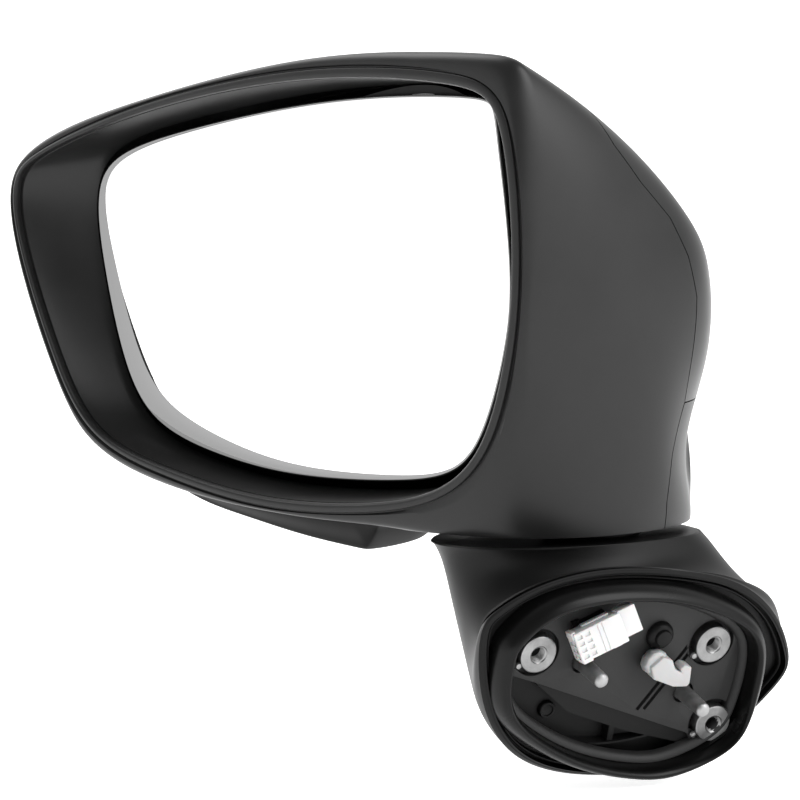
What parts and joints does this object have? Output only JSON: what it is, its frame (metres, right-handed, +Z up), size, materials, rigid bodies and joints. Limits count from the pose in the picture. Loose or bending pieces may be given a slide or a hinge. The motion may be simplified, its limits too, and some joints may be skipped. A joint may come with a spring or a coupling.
{
  "type": "car side mirror",
  "caption": "Left-hand car door mirror: folding black head, tilting glass in a deep frame, and a triangular door foot with rubber seal, threaded bosses and plug.",
  "frame": {"origin": "front locating pin on the mounting face: the point where the pin's axis meets the plane of the three boss faces", "axes": "+X towards the car, -X outboard, +Y towards the front of the car, +Z up, so +Y is the object's shortest extent and +Z its longest"},
  "size_m": [0.2465, 0.2118, 0.2676],
  "materials": {
    "textured_black": "fine-textured black moulded plastic",
    "smooth_black": "smooth satin black moulded cover",
    "cover_black": "matte black moulded plastic",
    "die_cast": "as-cast aluminium, machined on the boss faces",
    "steel": "zinc-plated steel",
    "liner_black": "matte moulded plastic",
    "gasket_rubber": "soft dark grey rubber",
    "white_nylon": "translucent white nylon",
    "white_plug": "white moulded plastic",
    "nylon_black": "black nylon",
    "acetal": "natural acetal",
    "frame_black": "glass-filled black plastic",
    "mirror_silver": "silvered convex-look glass, flat here",
    "heater_foil": "printed heater foil"
  },
  "bodies": {
    "base": {"base_bracket": "die_cast", "base_cover": "cover_black", "shaft_screws": "steel", "liner_plate": "liner_black", "mounting_gasket": "gasket_rubber", "retaining_clip": "white_nylon", "blind_plug": "cover_black", "plug_connector": "white_plug", "plug_holder": "cover_black", "pivot_shaft": "steel", "friction_washer": "nylon_black", "fold_gear": "acetal", "clutch_ring": "steel", "clutch_spring": "steel", "spring_washer": "steel"},
    "head": {"rear_housing": "textured_black", "front_cover": "smooth_black", "lower_cover": "textured_black", "fold_case": "cover_black", "fold_case_lid": "cover_black", "fold_motor": "steel", "head_frame": "frame_black", "frame_screws": "steel", "actuator_case": "cover_black", "actuator_lid": "cover_black", "glass_motors": "steel"},
    "worm": {"fold_worm": "steel"},
    "gimbal": {"gimbal_ring": "acetal"},
    "glass": {"mirror_glass": "mirror_silver", "heater_pad": "heater_foil", "glass_holder": "frame_black"},
    "screw_vertical": {"jackscrew_vertical": "acetal"},
    "screw_horizontal": {"jackscrew_horizontal": "acetal"},
    "nut_vertical": {"gear_nut_vertical": "acetal"},
    "nut_horizontal": {"gear_nut_horizontal": "acetal"}
  },
  "joints": [
    {"name": "mirror_fold", "type": "hinge", "parent": "base", "child": "head", "pos_m": [-0.0462, -0.01337, 0.05], "axis": [0, 0, 1], "range_deg": [-50, 60]},
    {"name": "glass_tilt_vertical", "type": "hinge", "parent": "head", "child": "gimbal", "pos_m": [-0.12708, -0.08151, 0.145], "axis": [0.891, 0.454, 0], "range_deg": [-5, 5]},
    {"name": "glass_tilt_horizontal", "type": "hinge", "parent": "gimbal", "child": "glass", "pos_m": [-0.12708, -0.08151, 0.145], "axis": [0, 0, 1], "range_deg": [-5, 5]},
    {"name": "jackscrew_vertical_slide", "type": "slide", "parent": "head", "child": "screw_vertical", "axis": [0.454, -0.891, 0], "range_m": [-0.006, 0.006]},
    {"name": "jackscrew_horizontal_slide", "type": "slide", "parent": "head", "child": "screw_horizontal", "axis": [0.454, -0.891, 0], "range_m": [-0.006, 0.006]},
    {"name": "gear_nut_vertical_spin", "type": "hinge", "parent": "head", "child": "nut_vertical", "pos_m": [-0.12708, -0.08151, 0.117], "axis": [0.454, -0.891, 0], "range_deg": [-900, 900]},
    {"name": "gear_nut_horizontal_spin", "type": "hinge", "parent": "head", "child": "nut_horizontal", "pos_m": [-0.10213, -0.0688, 0.145], "axis": [0.454, -0.891, 0], "range_deg": [-900, 900]},
    {"name": "fold_worm_spin", "type": "hinge", "parent": "head", "child": "worm", "pos_m": [-0.05383, 0.0016, 0.079], "axis": [0.891, 0.454, 0], "range_deg": [-2400, 2400]}
  ],
  "couplings": [
    {"joint": "jackscrew_vertical_slide", "follows": "glass_tilt_vertical", "m_per_rad": -0.028},
    {"joint": "gear_nut_vertical_spin", "follows": "glass_tilt_vertical", "ratio": 58.643},
    {"joint": "jackscrew_horizontal_slide", "follows": "glass_tilt_horizontal", "m_per_rad": -0.028},
    {"joint": "gear_nut_horizontal_spin", "follows": "glass_tilt_horizontal", "ratio": 58.643},
    {"joint": "fold_worm_spin", "follows": "mirror_fold", "ratio": -32}
  ]
}
